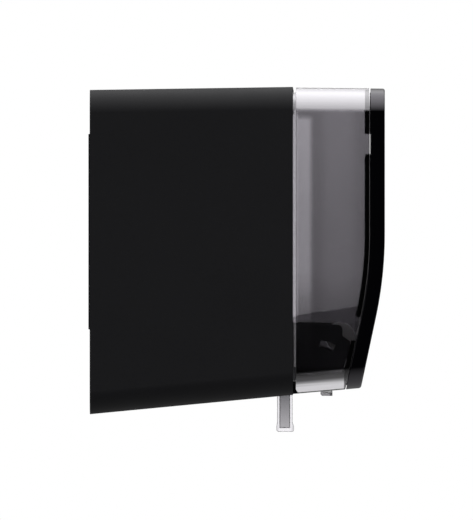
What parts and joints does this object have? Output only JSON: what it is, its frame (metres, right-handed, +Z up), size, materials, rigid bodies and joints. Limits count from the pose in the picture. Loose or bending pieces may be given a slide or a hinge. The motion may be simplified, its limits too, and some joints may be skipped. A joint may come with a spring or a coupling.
{
  "type": "double roll toilet paper dispenser",
  "caption": "Wall-mounted toilet paper dispenser with a black rear housing, a hinged clear smoke cover with a gloss black front, sprung roll hubs and a sliding door moved by a clear lever.",
  "frame": {"origin": "centre of the wall plate's rear face, in the plane of the wall", "axes": "+Z up, the front faces -Y, +X to the right seen from the front"},
  "size_m": [0.292, 0.18, 0.2096],
  "materials": {
    "black_abs": "fine spark texture",
    "gloss_black": "gloss sides, finely grained front",
    "smoke_clear": "clear smoke, polished outside",
    "dark_smoke": "dark smoke",
    "clear_plastic": "clear",
    "grey_abs": "light grey, satin",
    "spring_steel": "bright wire",
    "zinc_steel": "zinc plated",
    "lock_chrome": "satin nickel"
  },
  "bodies": {
    "housing": {"wall_plate": "black_abs", "rear_housing": "black_abs", "carrier_back": "grey_abs", "cheek_left": "grey_abs", "cheek_right": "grey_abs", "centre_arm": "grey_abs", "sleeve_cap_left": "grey_abs", "sleeve_cap_right": "grey_abs", "hub_spring_left": "spring_steel", "hub_spring_right": "spring_steel", "outer_axles": "zinc_steel", "outer_clips": "spring_steel", "rail_bracket_left": "black_abs", "rail_bracket_right": "black_abs", "guide_rod": "grey_abs", "rear_rail": "grey_abs", "lock_sleeve": "lock_chrome", "lock_nut": "zinc_steel", "carrier_screws": "zinc_steel", "cheek_screws": "zinc_steel", "arm_screws": "zinc_steel", "bracket_screws": "zinc_steel", "rail_screws": "zinc_steel"},
    "cover": {"front_cover": "smoke_clear", "face_plate": "gloss_black", "tear_bar": "clear_plastic", "hinge_pins": "zinc_steel"},
    "door": {"sliding_door": "dark_smoke", "slide_lever": "clear_plastic", "lever_screws": "zinc_steel"},
    "left_plunger": {"plunger_left": "grey_abs", "inner_clip_left": "spring_steel"},
    "right_plunger": {"plunger_right": "grey_abs", "inner_clip_right": "spring_steel"},
    "left_inner_hub": {"inner_hub_left": "grey_abs"},
    "right_inner_hub": {"inner_hub_right": "grey_abs"},
    "left_outer_hub": {"outer_hub_left": "grey_abs"},
    "right_outer_hub": {"outer_hub_right": "grey_abs"},
    "lock": {"lock_barrel": "lock_chrome", "lock_cam": "zinc_steel", "cam_screw": "zinc_steel"}
  },
  "joints": [
    {"name": "cover_hinge", "type": "hinge", "parent": "housing", "child": "cover", "pos_m": [0, -0.1293, -0.09489], "axis": [1, 0, 0], "range_deg": [0, 90]},
    {"name": "door_slide", "type": "slide", "parent": "housing", "child": "door", "axis": [1, 0, 0], "range_m": [0, 0.138]},
    {"name": "left_plunger_slide", "type": "slide", "parent": "housing", "child": "left_plunger", "axis": [1, 0, 0], "range_m": [0, 0.0086], "stiffness_N_per_m": 400, "springref_m": -0.008, "deforming": ["hub_spring_left"]},
    {"name": "right_plunger_slide", "type": "slide", "parent": "housing", "child": "right_plunger", "axis": [-1, 0, 0], "range_m": [0, 0.0086], "stiffness_N_per_m": 400, "springref_m": -0.008, "deforming": ["hub_spring_right"]},
    {"name": "left_inner_hub_spin", "type": "hinge", "parent": "left_plunger", "child": "left_inner_hub", "pos_m": [-0.03, -0.085, 0.004], "axis": [1, 0, 0], "continuous": true},
    {"name": "right_inner_hub_spin", "type": "hinge", "parent": "right_plunger", "child": "right_inner_hub", "pos_m": [0.03, -0.085, 0.004], "axis": [1, 0, 0], "continuous": true},
    {"name": "left_outer_hub_spin", "type": "hinge", "parent": "housing", "child": "left_outer_hub", "pos_m": [-0.127, -0.085, 0.004], "axis": [1, 0, 0], "continuous": true},
    {"name": "right_outer_hub_spin", "type": "hinge", "parent": "housing", "child": "right_outer_hub", "pos_m": [0.127, -0.085, 0.004], "axis": [1, 0, 0], "continuous": true},
    {"name": "lock_turn", "type": "hinge", "parent": "housing", "child": "lock", "pos_m": [0, -0.1, 0.075], "axis": [0, 0, 1], "range_deg": [0, 90]}
  ]
}
